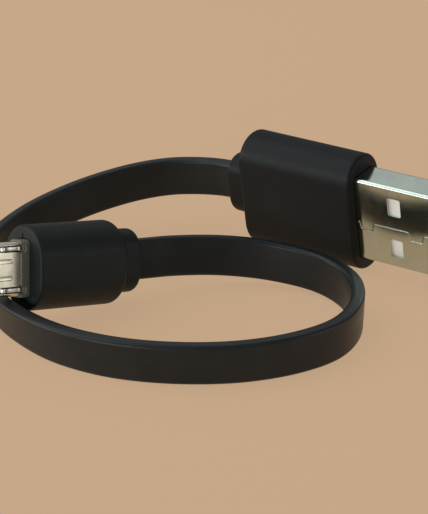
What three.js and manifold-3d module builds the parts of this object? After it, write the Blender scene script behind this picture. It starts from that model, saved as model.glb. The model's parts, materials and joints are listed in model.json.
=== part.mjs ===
// A short flat charging cable: a USB-A plug and a Micro-USB B plug on a ribbon that stands on its edge.
// Units are millimetres, +Z is up, and the table is the plane z = 0.
import * as THREE from 'three';
import { mergeVertices } from 'three/addons/utils/BufferGeometryUtils.js';
import Module from 'manifold-3d';

const wasm = await Module();
wasm.setup();

// ---------------------------------------------------------------- driving dimensions

const FIT_GAP = 0.06; // play between pieces that are moulded or pressed together
const CUT_OVERRUN = 1; // how far a cutting solid runs past the face that it opens
const END_FLAT = 0.02; // straight part left between the two arcs at a fully rounded end
const WELD = 1e-4; // points closer than this are one point

// The ribbon. Each route point is x, y, z and how far the top edge leans outward, in degrees.
const RIBBON = { width: 5.3, thickness: 1.8, corner: 0.3, steps: 56 };
const RIBBON_GAP = 0.3; // between each end of the ribbon and the collar that it comes out of
const RIBBON_ROUTE = [
  [-0.2, 19.4, 7.9, -7], [-3.4, 20.8, 7.6, -4], [-7.4, 21.3, 7.3, -1], [-11.8, 20.4, 6.9, 2],
  [-16.7, 17.9, 6.4, 5], [-21.6, 14.2, 5.8, 8], [-26.5, 9, 5, 11], [-30, 2.3, 4.2, 14],
  [-31, -5, 3.4, 16], [-29.5, -11.8, 2.9, 16], [-25.9, -18.1, 2.75, 13], [-20.7, -23.9, 2.75, 9],
  [-14.1, -27.8, 2.75, 6], [-6.5, -29.6, 2.75, 5], [1.8, -29.3, 2.75, 4], [8.9, -26.7, 2.75, 3],
  [14, -22.5, 2.75, 2], [16.6, -16.6, 2.85, 2], [16.5, -9.6, 3, 3], [12.9, -3.6, 3.2, 4],
  [6.6, -0.3, 3.6, 6], [-0.2, 0.4, 4.1, 8], [-6.3, -1.1, 4.7, 10], [-9.8, -2.9, 5.15, 12],
];

// Plug frames: X to the tip, Y across the width, Z through the thickness, origin at the overmould's front.
// Each plug stands on its narrow edge; turn is in degrees about X, then Y, then Z.
const USB_A = {
  place: [19.15, 4.57, 8.61],
  turn: [98.6, -1.4, -37.8],
  lean: -8.6,
  body: { length: 18.3, width: 16.7, thickness: 7.2, corner: 3.5, rearCorner: 0.9, edge: 0.4 },
  collar: { length: 3.2, width: 8.6, thickness: 4.8, corner: 2.3, rearCorner: 0.7, edge: 0.3 },
  pocket: { depth: 15.4, width: 12.9, thickness: 5.3 },
};
const MICRO = {
  place: [-25.25, -14.23, 8.56],
  turn: [-76.9, -10.7, 217.4],
  lean: 13.1,
  body: { length: 13.4, width: 10.9, thickness: 8.4, corner: 4.1, rearCorner: 1.1, edge: 0.5 },
  collar: { length: 3.4, width: 8.3, thickness: 4.8, corner: 2.3, rearCorner: 0.8, edge: 0.3 },
  pocket: { depth: 9.8, width: 8.1, thickness: 3.2 },
};

// USB-A shell and what it holds. The seam runs along the middle of its +Z face, over the tongue.
const A_SHELL = { tip: 12.2, rear: -8.8, width: 12.0, height: 4.5, wall: 0.3, corner: 0.5 };
const A_WINDOW = { x: 6.05, y: 3.06, length: 2.0, width: 2.6, corner: 0.25 };
const A_SEAM = {
  gap: 0.1, y: -0.05, drop: 1.15, neck: 2.15, foot: 1.65, tabs: [-6.3, 1.5, 9.3], overcut: 0.1,
};
const A_BLOCK = { rear: -8.6, front: 2.2, tongueTip: 11.7, tongueBack: 0.12 };
const A_CONTACT = { width: 1.0, thickness: 0.25, rear: -9.2, groove: 0.16, nose: 0.5, noseLip: 0.08 };
const A_TAIL_ROOM = { behind: 0.5, halfWidth: 5, bottom: -0.6, top: 0.8 };
const A_CONTACTS = [
  { name: 'gnd', y: 3.5, tip: 10.9, colour: 'black' },
  { name: 'd_plus', y: 1.0, tip: 9.9, colour: 'green' },
  { name: 'd_minus', y: -1.0, tip: 9.9, colour: 'white' },
  { name: 'vbus', y: -3.5, tip: 10.9, colour: 'red' },
];

// Micro-USB shell and what it holds. The latches come out of its wide +Z face.
const M_SHELL = {
  tip: 6.3, rear: -5.0, width: 6.85, narrow: 5.3, height: 1.8, wall: 0.22, waist: -0.1, corner: 0.45,
};
const M_BOSS = { length: 1.1, root: 1.0, width: 7.3, thickness: 2.8, corner: 0.7 };
const M_SLOT = { y: 2.6, from: 0.6, to: 4.2, width: 0.85 };
const M_DIMPLE = { y: 1.07, from: 2.1, to: 4.7, width: 0.6, depth: 0.12 };
const M_LATCH = {
  width: 0.55, thickness: 0.2, root: -4.6, tip: 3.9, z: 0.42,
  riseFrom: 0.5, riseTo: 1.05, rise: 0.28, hookLength: 0.9, hookTop: 1.24, hookFlat: 0.3,
};
const M_BLOCK = {
  rear: -4.9, front: 0.9, tongueTip: 5.9, coreWidth: 4.1, tongueTop: -0.2, rootOverlap: 0.5,
};
const M_CLAMP = { front: -3.6, halfWidth: 2.71, bottom: -0.1 };
const M_SPRING_ROOM = { from: 1.2, beyondTip: 0.2, above: 0.45 };
const M_CONTACT = {
  width: 0.36, thickness: 0.12, rear: -5.4, tip: 5.4, pitch: 0.65,
  riseFrom: 2.0, bump: 0.24, crest: [1.3, 0.9],
};
const M_TAIL_ROOM = { behind: 0.3, halfWidth: 1.8, bottom: -0.8, top: 0.5 };
const M_CONTACTS = [
  { name: 'vbus', place: -2, colour: 'red' },
  { name: 'd_minus', place: -1, colour: 'white' },
  { name: 'd_plus', place: 0, colour: 'green' },
  { name: 'id', place: 1, colour: null },
  { name: 'gnd', place: 2, colour: 'black' },
];

// Insulated conductors, from the ribbon's end through the collar to the contacts.
const WIRE = {
  radius: 0.27, pitch: 1.05, middle: 1.5, sides: 8, steps: 10, straightIn: 0.3, straightEnd: 1.4,
};
const WIRE_SLOT = { width: 4.4, height: 1.0, corner: 0.45 };

// ---------------------------------------------------------------- materials

const MATERIALS = {
  jacket: { color: 0x2c2d2d, roughness: 0.45, metalness: 0 },
  overmould: { color: 0x17191a, roughness: 0.6, metalness: 0 },
  innerMould: { color: 0x2a2b2a, roughness: 0.7, metalness: 0 },
  nickel: { color: 0xb4af90, roughness: 0.28, metalness: 1 },
  spring: { color: 0xd6d6cc, roughness: 0.2, metalness: 1 },
  gold: { color: 0xd0a650, roughness: 0.25, metalness: 1 },
  whitePlastic: { color: 0xe6e4da, roughness: 0.5, metalness: 0 },
  blackPlastic: { color: 0x1b1b1c, roughness: 0.5, metalness: 0 },
  red: { color: 0xa3201c, roughness: 0.5, metalness: 0 },
  white: { color: 0xe2e0d8, roughness: 0.5, metalness: 0 },
  green: { color: 0x1f7a3a, roughness: 0.5, metalness: 0 },
  black: { color: 0x151515, roughness: 0.5, metalness: 0 },
};

// ---------------------------------------------------------------- helpers

function toSolid(geometry) {
  const bare = geometry.index ? geometry.toNonIndexed() : geometry.clone();
  bare.deleteAttribute('normal');
  bare.deleteAttribute('uv');
  const merged = mergeVertices(bare, WELD);
  return new wasm.Manifold(new wasm.Mesh({
    numProp: 3,
    vertProperties: new Float32Array(merged.attributes.position.array),
    triVerts: new Uint32Array(merged.index.array),
  }));
}

function toGeometry(solid) {
  const mesh = solid.getMesh();
  const geometry = new THREE.BufferGeometry();
  geometry.setAttribute('position', new THREE.BufferAttribute(new Float32Array(mesh.vertProperties), 3));
  geometry.setIndex(new THREE.BufferAttribute(new Uint32Array(mesh.triVerts), 1));
  geometry.computeVertexNormals();
  return geometry;
}

function cut(solid, ...tools) {
  return tools.reduce((rest, tool) => rest.subtract(tool), solid);
}

// A rounded rectangle centred on (x, y).
function roundedRect(width, height, radius, x = 0, y = 0) {
  const right = width / 2 - radius;
  const top = height / 2 - radius;
  const shape = new THREE.Shape();
  shape.absarc(x + right, y + top, radius, 0, Math.PI / 2);
  shape.absarc(x - right, y + top, radius, Math.PI / 2, Math.PI);
  shape.absarc(x - right, y - top, radius, Math.PI, 1.5 * Math.PI);
  shape.absarc(x + right, y - top, radius, 1.5 * Math.PI, 2 * Math.PI);
  shape.closePath();
  return shape;
}

// A polygon through the given [x, y] points.
function polygon(points) {
  return new THREE.Shape(points.map(([x, y]) => new THREE.Vector2(x, y)));
}

// A YZ section drawn out along X, with an optional bevel inside both ends.
const SECTION_TO_X = new THREE.Matrix4().makeBasis(
  new THREE.Vector3(0, 1, 0), new THREE.Vector3(0, 0, 1), new THREE.Vector3(1, 0, 0));

function alongX(shape, from, to, segments = 6, bevel = 0) {
  const geometry = new THREE.ExtrudeGeometry(shape, {
    depth: to - from - 2 * bevel,
    bevelEnabled: bevel > 0,
    bevelThickness: bevel,
    bevelSize: bevel,
    bevelOffset: -bevel,
    bevelSegments: 2,
    curveSegments: segments,
  });
  geometry.translate(0, 0, from + bevel);
  return toSolid(geometry.applyMatrix4(SECTION_TO_X));
}

// An XY outline drawn out along Z.
function alongZ(shape, from, to, segments = 6) {
  const geometry = new THREE.ExtrudeGeometry(shape, {
    depth: to - from, bevelEnabled: false, curveSegments: segments,
  });
  return toSolid(geometry.translate(0, 0, from));
}

// An XZ outline drawn out along Y, centred on y.
function alongY(shape, y, width) {
  const geometry = new THREE.ExtrudeGeometry(shape, { depth: width, bevelEnabled: false, curveSegments: 6 });
  geometry.translate(0, 0, -width / 2);
  geometry.rotateX(Math.PI / 2);
  return toSolid(geometry.translate(0, y, 0));
}

function box(from, to) {
  const size = to.map((value, axis) => value - from[axis]);
  const geometry = new THREE.BoxGeometry(...size);
  return toSolid(geometry.translate(...to.map((value, axis) => (value + from[axis]) / 2)));
}

function named(name, geometry, material) {
  const mesh = new THREE.Mesh(geometry, new THREE.MeshStandardMaterial(MATERIALS[material]));
  mesh.name = name;
  return mesh;
}

function piece(name, solid, material) {
  return named(name, toGeometry(solid), material);
}

// ---------------------------------------------------------------- pieces that both plugs have

// A rounded bar along X whose rear corners are rounded in plan.
function moulded({ width, thickness, corner, rearCorner, edge }, from, to, segments) {
  const bar = alongX(roundedRect(width, thickness, corner), from, to, segments, edge);
  const reach = width / 2;
  const plan = new THREE.Shape();
  plan.moveTo(to + CUT_OVERRUN, -reach);
  plan.lineTo(to + CUT_OVERRUN, reach);
  plan.absarc(from + rearCorner, reach - rearCorner, rearCorner, Math.PI / 2, Math.PI);
  plan.absarc(from + rearCorner, -reach + rearCorner, rearCorner, Math.PI, 1.5 * Math.PI);
  plan.closePath();
  return bar.intersect(alongZ(plan, -thickness, thickness));
}

// The moulded grip: a rounded bar with a collar behind it and a pocket in front.
function overmould({ body, collar, pocket }) {
  const grip = moulded(body, -body.length, 0, 7);
  const neck = moulded(collar, -body.length - collar.length, -body.length + 2 * collar.edge, 5);
  const hollow = box(
    [-pocket.depth, -pocket.width / 2, -pocket.thickness / 2],
    [CUT_OVERRUN, pocket.width / 2, pocket.thickness / 2]);
  const slotSection = roundedRect(WIRE_SLOT.width, WIRE_SLOT.height, WIRE_SLOT.corner);
  const rear = -body.length - collar.length;
  const slot = alongX(slotSection, rear - CUT_OVERRUN, -pocket.depth + CUT_OVERRUN, 3);
  return cut(grip.add(neck), hollow, slot);
}

// The path of one conductor: straight through the collar, then spread to its contact.
function wirePath(plug, collarY, contactY, contactX, z) {
  const rear = -plug.body.length - plug.collar.length;
  const spreadFrom = -plug.pocket.depth + WIRE.straightIn;
  return new THREE.CatmullRomCurve3([
    new THREE.Vector3(rear, collarY, 0),
    new THREE.Vector3((rear + spreadFrom) / 2, collarY, 0),
    new THREE.Vector3(spreadFrom, collarY, 0),
    new THREE.Vector3((spreadFrom + contactX) / 2, (collarY + contactY) / 2, z / 2),
    new THREE.Vector3(contactX - WIRE.straightEnd, contactY, z),
    new THREE.Vector3(contactX, contactY, z),
  ]);
}

function tube(path, radius) {
  const section = new THREE.Shape();
  for (let i = 0; i < WIRE.sides; i += 1) {
    const angle = (2 * Math.PI * (i + 0.5)) / WIRE.sides;
    const move = i === 0 ? 'moveTo' : 'lineTo';
    section[move](radius * Math.cos(angle), radius * Math.sin(angle));
  }
  section.closePath();
  return toSolid(new THREE.ExtrudeGeometry(section, { extrudePath: path, steps: WIRE.steps }));
}

function placed({ place, turn }, meshes) {
  const group = new THREE.Group();
  group.position.set(...place);
  group.rotation.set(...turn.map(THREE.MathUtils.degToRad), 'ZYX');
  group.add(...meshes);
  group.updateMatrixWorld(true);
  return group;
}

// ---------------------------------------------------------------- USB-A plug

// The seam is a thin band that drops into a keyed step at each tab.
function seamEdge(side) {
  const { gap, y, drop, neck, foot, tabs } = A_SEAM;
  const shift = (side * gap) / 2;
  const line = [[A_SHELL.rear - CUT_OVERRUN, y + shift]];
  for (const centre of tabs) {
    const top = neck / 2 - shift;
    const bottom = foot / 2 - shift;
    line.push([centre - top, y + shift], [centre - bottom, y - drop + shift]);
    line.push([centre + bottom, y - drop + shift], [centre + top, y + shift]);
  }
  line.push([A_SHELL.tip + CUT_OVERRUN, y + shift]);
  return line;
}

function seamOutline() {
  return polygon([...seamEdge(1), ...seamEdge(-1).reverse()]);
}

function usbAShell() {
  const { tip, rear, width, height, wall, corner } = A_SHELL;
  const outer = alongX(roundedRect(width, height, corner), rear, tip, 4);
  const innerSection = roundedRect(width - 2 * wall, height - 2 * wall, corner - wall);
  const inner = alongX(innerSection, rear - CUT_OVERRUN, tip + CUT_OVERRUN, 3);
  const windows = [-1, 1].map((side) => {
    const { x, y, length, width: across, corner: round } = A_WINDOW;
    return alongZ(roundedRect(length, across, round, x, side * y), -height, height, 3);
  });
  const seam = alongZ(seamOutline(), height / 2 - wall - A_SEAM.overcut, height);
  return cut(outer, inner, ...windows, seam);
}

// The white block fills the rear of the shell; its tongue carries the contacts on its inner face.
function usbAInsulator() {
  const halfWidth = A_SHELL.width / 2 - A_SHELL.wall - FIT_GAP;
  const halfHeight = A_SHELL.height / 2 - A_SHELL.wall - FIT_GAP;
  const { rear, front, tongueTip, tongueBack } = A_BLOCK;
  const section = roundedRect(2 * halfWidth, 2 * halfHeight, A_SHELL.corner - A_SHELL.wall);
  const block = alongX(section, rear, tongueTip, 3);
  const mouth = box(
    [front, -A_SHELL.width, -A_SHELL.height], [tongueTip + CUT_OVERRUN, A_SHELL.width, tongueBack]);
  const grooves = A_CONTACTS.map(({ y, tip }) => {
    const half = A_CONTACT.width / 2 + FIT_GAP;
    const floor = tongueBack + A_CONTACT.groove + FIT_GAP;
    const open = tongueBack + A_CONTACT.groove - A_CONTACT.thickness - FIT_GAP;
    return box([rear - CUT_OVERRUN, y - half, open], [tip + FIT_GAP, y + half, floor]);
  });
  return cut(block, mouth, ...grooves);
}

// A flat contact blade with a sloped tip.
function usbAContact({ y, tip }) {
  const back = A_BLOCK.tongueBack + A_CONTACT.groove;
  const face = back - A_CONTACT.thickness;
  const outline = polygon([
    [A_CONTACT.rear, face], [tip - A_CONTACT.nose, face], [tip, back - A_CONTACT.noseLip],
    [tip, back], [A_CONTACT.rear, back],
  ]);
  return alongY(outline, y, A_CONTACT.width);
}

function usbAWirePath(contact, index) {
  const collarY = (WIRE.middle - index) * WIRE.pitch;
  const z = A_BLOCK.tongueBack + A_CONTACT.groove - A_CONTACT.thickness / 2;
  return wirePath(USB_A, collarY, contact.y, A_CONTACT.rear - FIT_GAP, z);
}

function usbAInnerMould() {
  const { depth, width, thickness } = USB_A.pocket;
  const half = [width / 2 - FIT_GAP, thickness / 2 - FIT_GAP];
  const block = box([-depth + FIT_GAP, -half[0], -half[1]], [A_SHELL.rear - 3 * FIT_GAP, half[0], half[1]]);
  const channels = A_CONTACTS
    .map((contact, index) => tube(usbAWirePath(contact, index), WIRE.radius + FIT_GAP));
  const { behind, halfWidth, bottom, top } = A_TAIL_ROOM;
  const tails = box([A_CONTACT.rear - behind, -halfWidth, bottom], [0, halfWidth, top]);
  return cut(block, ...channels, tails);
}

function usbAPlug() {
  return placed(USB_A, [
    piece('usb_a_overmould', overmould(USB_A), 'overmould'),
    piece('usb_a_inner_mould', usbAInnerMould(), 'innerMould'),
    piece('usb_a_shell', usbAShell(), 'nickel'),
    piece('usb_a_insulator', usbAInsulator(), 'whitePlastic'),
    ...A_CONTACTS.map((contact) => piece(`usb_a_contact_${contact.name}`, usbAContact(contact), 'gold')),
    ...A_CONTACTS.map((contact, index) => {
      const wire = tube(usbAWirePath(contact, index), WIRE.radius);
      return piece(`usb_a_wire_${contact.colour}`, wire, contact.colour);
    }),
  ]);
}

// ---------------------------------------------------------------- Micro-USB plug

// The shell's section: full width down to its waist, then slanted in to the narrow face.
function microSection(inset) {
  const half = M_SHELL.width / 2 - inset;
  const low = M_SHELL.narrow / 2 - inset;
  const top = M_SHELL.height / 2 - inset;
  const radius = M_SHELL.corner - inset;
  const shape = new THREE.Shape();
  shape.absarc(half - radius, top - radius, radius, 0, Math.PI / 2);
  shape.absarc(-half + radius, top - radius, radius, Math.PI / 2, Math.PI);
  shape.lineTo(-half, M_SHELL.waist);
  shape.lineTo(-low, -top);
  shape.lineTo(low, -top);
  shape.lineTo(half, M_SHELL.waist);
  shape.closePath();
  return shape;
}

function slotOutline(from, to, y, width) {
  const length = to - from;
  return roundedRect(length, width, (width - END_FLAT) / 2, from + length / 2, y);
}

// The slot that a latch comes out of, cut upward from the given height.
function latchSlot(side, from) {
  return alongZ(slotOutline(M_SLOT.from, M_SLOT.to, side * M_SLOT.y, M_SLOT.width), from, M_SHELL.height, 4);
}

function microShell() {
  const { tip, rear, wall, height } = M_SHELL;
  const outer = alongX(microSection(0), rear, tip, 4);
  const inner = alongX(microSection(wall), rear - CUT_OVERRUN, tip + CUT_OVERRUN, 3);
  const slots = [-1, 1].map((side) => latchSlot(side, 0));
  const dimples = [-1, 1].map((side) => {
    const outline = slotOutline(M_DIMPLE.from, M_DIMPLE.to, side * M_DIMPLE.y, M_DIMPLE.width);
    return alongZ(outline, height / 2 - M_DIMPLE.depth, height, 4);
  });
  return cut(outer, inner, ...slots, ...dimples);
}

// The boss around the shell's root and the block behind it, inside the overmould.
function microInnerMould() {
  const { depth, width, thickness } = MICRO.pocket;
  const half = [width / 2 - FIT_GAP, thickness / 2 - FIT_GAP];
  const block = box([-depth + FIT_GAP, -half[0], -half[1]], [-FIT_GAP, half[0], half[1]]);
  const bossSection = roundedRect(M_BOSS.width, M_BOSS.thickness, M_BOSS.corner);
  const boss = alongX(bossSection, -M_BOSS.root, M_BOSS.length, 4);
  const hole = alongX(microSection(-FIT_GAP), M_SHELL.rear - FIT_GAP, M_BOSS.length + CUT_OVERRUN, 4);
  const channels = M_CONTACTS.filter((contact) => contact.colour)
    .map((contact, index) => tube(microWirePath(contact, index), WIRE.radius + FIT_GAP / 2));
  const { behind, halfWidth, bottom, top } = M_TAIL_ROOM;
  const tails = box([M_CONTACT.rear - behind, -halfWidth, bottom], [M_SHELL.rear, halfWidth, top]);
  const notches = [-1, 1].map((side) => latchSlot(side, 0));
  return cut(block.add(boss), hole, ...channels, tails, ...notches);
}

// A black core between the two latches, clamped full width at the rear, with a thin tongue in front.
function microInsulator() {
  const { rear, front, tongueTip, coreWidth, tongueTop, rootOverlap } = M_BLOCK;
  const top = M_SHELL.height / 2 - M_SHELL.wall - FIT_GAP;
  const half = coreWidth / 2;
  const core = box([rear, -half, -top], [front, half, top]);
  const clamp = box(
    [rear, -M_CLAMP.halfWidth, M_CLAMP.bottom],
    [M_CLAMP.front, M_CLAMP.halfWidth, M_LATCH.z - M_LATCH.thickness]);
  const tongue = box([front - rootOverlap, -half, -top], [tongueTip, half, tongueTop]);
  const side = M_CONTACT.width / 2 + FIT_GAP;
  const open = tongueTop + M_SPRING_ROOM.above;
  const floor = tongueTop - M_CONTACT.thickness - 2 * FIT_GAP;
  const grooves = M_CONTACTS.flatMap(({ place }) => {
    const y = place * M_CONTACT.pitch;
    return [
      box([rear - CUT_OVERRUN, y - side, floor], [M_CONTACT.tip, y + side, open]),
      box([M_SPRING_ROOM.from, y - side, -top - CUT_OVERRUN],
        [M_CONTACT.tip + M_SPRING_ROOM.beyondTip, y + side, open]),
    ];
  });
  return cut(core.add(clamp).add(tongue), ...grooves);
}

// A contact spring: a flat strip that rises to a bump near its tip.
function microContact({ place }) {
  const { width, thickness, rear, tip, pitch, bump, riseFrom, crest } = M_CONTACT;
  const top = M_BLOCK.tongueTop;
  const low = top - thickness;
  const outline = polygon([
    [rear, low], [riseFrom, low], [tip - crest[0], low + bump], [tip - crest[1], low + bump], [tip, low],
    [tip, top], [tip - crest[1], top + bump], [tip - crest[0], top + bump], [riseFrom, top], [rear, top],
  ]);
  return alongY(outline, place * pitch, width);
}

// A latch spring: an arm inside the shell that rises into the slot and ends in a hook.
function microLatch(side) {
  const { width, thickness, root, tip, z, riseFrom, riseTo, rise, hookLength, hookTop, hookFlat } = M_LATCH;
  const low = z - thickness / 2;
  const top = z + thickness / 2;
  const outline = polygon([
    [root, low], [riseFrom, low], [riseTo, low + rise], [tip, low + rise], [tip, hookTop],
    [tip - hookFlat, hookTop], [tip - hookLength, top + rise], [riseTo, top + rise], [riseFrom, top],
    [root, top],
  ]);
  return alongY(outline, side * M_SLOT.y, width);
}

function microWirePath(contact, index) {
  const collarY = (index - WIRE.middle) * WIRE.pitch;
  const contactY = contact.place * M_CONTACT.pitch;
  const z = M_BLOCK.tongueTop - M_CONTACT.thickness / 2;
  return wirePath(MICRO, collarY, contactY, M_CONTACT.rear - FIT_GAP, z);
}

function microPlug() {
  const wired = M_CONTACTS.filter((contact) => contact.colour);
  return placed(MICRO, [
    piece('micro_overmould', overmould(MICRO), 'overmould'),
    piece('micro_inner_mould', microInnerMould(), 'innerMould'),
    piece('micro_shell', microShell(), 'nickel'),
    piece('micro_insulator', microInsulator(), 'blackPlastic'),
    ...M_CONTACTS.map((contact) => piece(`micro_contact_${contact.name}`, microContact(contact), 'gold')),
    piece('micro_latch_lower', microLatch(1), 'spring'),
    piece('micro_latch_upper', microLatch(-1), 'spring'),
    ...wired.map((contact, index) => {
      const wire = tube(microWirePath(contact, index), WIRE.radius);
      return piece(`micro_wire_${contact.colour}`, wire, contact.colour);
    }),
  ]);
}

// ---------------------------------------------------------------- ribbon

// A route whose cross-section keeps its long side upright, apart from the lean at each point.
class RibbonRoute extends THREE.CatmullRomCurve3 {
  constructor(points, leans) {
    super(points);
    this.leans = leans;
  }

  leanAt(u) {
    const along = this.getUtoTmapping(u) * (this.leans.length - 1);
    const index = Math.min(Math.floor(along), this.leans.length - 2);
    const lean = THREE.MathUtils.lerp(this.leans[index], this.leans[index + 1], along - index);
    return THREE.MathUtils.degToRad(lean);
  }

  computeFrenetFrames(segments) {
    const frames = { tangents: [], normals: [], binormals: [] };
    for (let i = 0; i <= segments; i += 1) {
      const tangent = this.getTangentAt(i / segments);
      const outward = new THREE.Vector3().crossVectors(tangent, new THREE.Vector3(0, 0, 1)).normalize();
      const upright = new THREE.Vector3().crossVectors(outward, tangent).normalize();
      const lean = this.leanAt(i / segments);
      const across = upright.clone().multiplyScalar(Math.cos(lean)).addScaledVector(outward, Math.sin(lean));
      frames.tangents.push(tangent);
      frames.normals.push(across);
      frames.binormals.push(new THREE.Vector3().crossVectors(tangent, across).normalize());
    }
    return frames;
  }
}

// The point just behind a plug's collar where the ribbon starts, in the cable's frame.
function ribbonEnd(plug, group) {
  const behind = -plug.body.length - plug.collar.length - RIBBON_GAP;
  return group.localToWorld(new THREE.Vector3(behind, 0, 0));
}

function ribbon(usbA, micro) {
  const middle = RIBBON_ROUTE.map(([x, y, z]) => new THREE.Vector3(x, y, z));
  const points = [ribbonEnd(USB_A, usbA), ...middle, ribbonEnd(MICRO, micro)];
  const leans = [USB_A.lean, ...RIBBON_ROUTE.map((point) => point[3]), MICRO.lean];
  const { width, thickness, corner, steps } = RIBBON;
  const right = width / 2;
  const top = thickness / 2;
  const section = polygon([
    [right, -top + corner], [right, top - corner], [right - corner, top], [-right + corner, top],
    [-right, top - corner], [-right, -top + corner], [-right + corner, -top], [right - corner, -top],
  ]);
  const route = new RibbonRoute(points, leans);
  const geometry = new THREE.ExtrudeGeometry(section, { extrudePath: route, steps });
  return named('cable_jacket', geometry, 'jacket');
}

// ---------------------------------------------------------------- the cable

const usbA = usbAPlug();
const micro = microPlug();
const cable = new THREE.Group();
cable.add(usbA, micro, ribbon(usbA, micro));

export default cable;
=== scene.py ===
"""A short flat charging cable: a USB-A plug and a Micro-USB B plug on a ribbon that stands on its edge.

Lengths in the tables are millimetres. Each plug's are in its own frame: X to the tip, Y across the width,
Z through the thickness, origin at the middle of the overmould's front face. The ribbon's route is in the
world's frame.
"""
import json
import math

import bmesh
import bpy
import numpy as np
from mathutils import Matrix, Vector


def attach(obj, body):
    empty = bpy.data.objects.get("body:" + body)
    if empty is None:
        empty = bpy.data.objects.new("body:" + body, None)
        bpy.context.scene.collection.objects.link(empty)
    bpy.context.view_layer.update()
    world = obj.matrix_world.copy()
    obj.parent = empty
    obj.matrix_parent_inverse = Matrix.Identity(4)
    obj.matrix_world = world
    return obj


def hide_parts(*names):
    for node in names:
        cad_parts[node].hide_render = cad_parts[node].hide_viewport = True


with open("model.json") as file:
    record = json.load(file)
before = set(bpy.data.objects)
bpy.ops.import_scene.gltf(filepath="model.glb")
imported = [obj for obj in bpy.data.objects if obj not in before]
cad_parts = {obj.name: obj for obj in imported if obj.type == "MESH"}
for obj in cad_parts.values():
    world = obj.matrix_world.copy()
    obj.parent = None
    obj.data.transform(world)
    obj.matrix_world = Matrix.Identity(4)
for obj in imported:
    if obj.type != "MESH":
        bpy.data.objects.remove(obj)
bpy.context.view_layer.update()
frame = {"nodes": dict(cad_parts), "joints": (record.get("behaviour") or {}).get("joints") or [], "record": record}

MM = 0.001
BODY = "plugs_and_ribbon"

# ---------------------------------------------------------------- camera

CAMERA_TARGET = Vector((-0.00122, 0.00398, 0.00233))
CAMERA_DISTANCE = 0.300
CAMERA_ELEVATION = math.radians(23)
CAMERA_LENS = 156.4
CAMERA_SENSOR = 36.0
CAMERA_CLIP = 0.01


def add_camera():
    data = bpy.data.cameras.new("camera")
    data.lens = CAMERA_LENS
    data.sensor_width = CAMERA_SENSOR
    data.clip_start = CAMERA_CLIP
    camera = bpy.data.objects.new("camera", data)
    back = Vector((0, -math.cos(CAMERA_ELEVATION), math.sin(CAMERA_ELEVATION)))
    camera.location = CAMERA_TARGET + back * CAMERA_DISTANCE
    camera.rotation_euler = (math.pi / 2 - CAMERA_ELEVATION, 0, 0)
    bpy.context.scene.collection.objects.link(camera)
    bpy.context.scene.camera = camera


add_camera()

# ---------------------------------------------------------------- the plugs' frames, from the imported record

mounts = {mount["name"]: mount for mount in frame["record"]["mounts"]}
joints = {joint["name"]: joint for joint in frame["joints"]}
USB_A_STOP = (0.0, 7.1, 0.0)  # the two mounts' places in their plugs' frames, in mm
MICRO_GRIP = (-6.0, 0.0, 4.2)


def frame_at(mount, local_mm, x_axis, y_axis, z_axis):
    """The plug's frame, from a mount whose place in that frame is known."""
    matrix = Matrix((x_axis, y_axis, z_axis)).transposed().to_4x4()
    matrix.translation = Vector(mount["pos_m"]) - (matrix.to_3x3() @ Vector(local_mm)) * MM
    return matrix


def usb_a_frame():
    x_axis = Vector(mounts["usb_a_stop_face"]["axis"]).normalized()
    z_axis = -Vector(mounts["usb_a_shell_face"]["axis"]).normalized()
    y_axis = z_axis.cross(x_axis).normalized()
    return frame_at(mounts["usb_a_stop_face"], USB_A_STOP, x_axis, y_axis, z_axis)


def micro_frame():
    y_axis = Vector(joints["latch_lower_press"]["axis"]).normalized()
    z_axis = Vector(mounts["micro_grip_face"]["axis"]).normalized()
    x_axis = y_axis.cross(z_axis).normalized()
    return frame_at(mounts["micro_grip_face"], MICRO_GRIP, x_axis, y_axis, z_axis)


USB_A = usb_a_frame()
MICRO = micro_frame()

# ---------------------------------------------------------------- dimensions

# step: between the sections; into_collar: how far it reaches in; gap: straight run outside a collar
RIBBON = dict(width=5.3, thickness=1.8, corner=0.5, step=0.25, arc=6, into_collar=0.5, gap=0.3)
# x, y, z and how far the top edge leans outward, in degrees
RIBBON_ROUTE = [
    (-0.2, 19.4, 7.9, -7), (-3.4, 20.8, 7.6, -4), (-7.4, 21.3, 7.3, -1), (-11.8, 20.4, 6.9, 2),
    (-16.7, 17.9, 6.4, 5), (-21.6, 14.2, 5.8, 8), (-26.5, 9, 5, 11), (-30, 2.3, 4.2, 14),
    (-31, -5, 3.4, 16), (-29.5, -11.8, 2.9, 16), (-25.9, -18.1, 2.75, 13), (-20.7, -23.9, 2.75, 9),
    (-14.1, -27.8, 2.75, 6), (-6.5, -29.6, 2.75, 5), (1.8, -29.3, 2.75, 4), (8.9, -26.7, 2.75, 3),
    (14, -22.5, 2.75, 2), (16.6, -16.6, 2.85, 2), (16.5, -9.6, 3, 3), (12.9, -3.6, 3.2, 4),
    (6.6, -0.3, 3.6, 6), (-0.2, 0.4, 4.1, 8), (-6.3, -1.1, 4.7, 10), (-9.8, -2.9, 5.15, 12),
]
RIBBON_LEAN = {"usb_a": -8.6, "micro": 13.1}  # at the two plugs, in degrees
ROUTE_SAMPLES = 40  # between neighbouring points of the route
SWELLS = ((0.006, 3.1, 0), (0.004, 1.27, 2))  # share of the thickness, length of a radian along, phase

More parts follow.
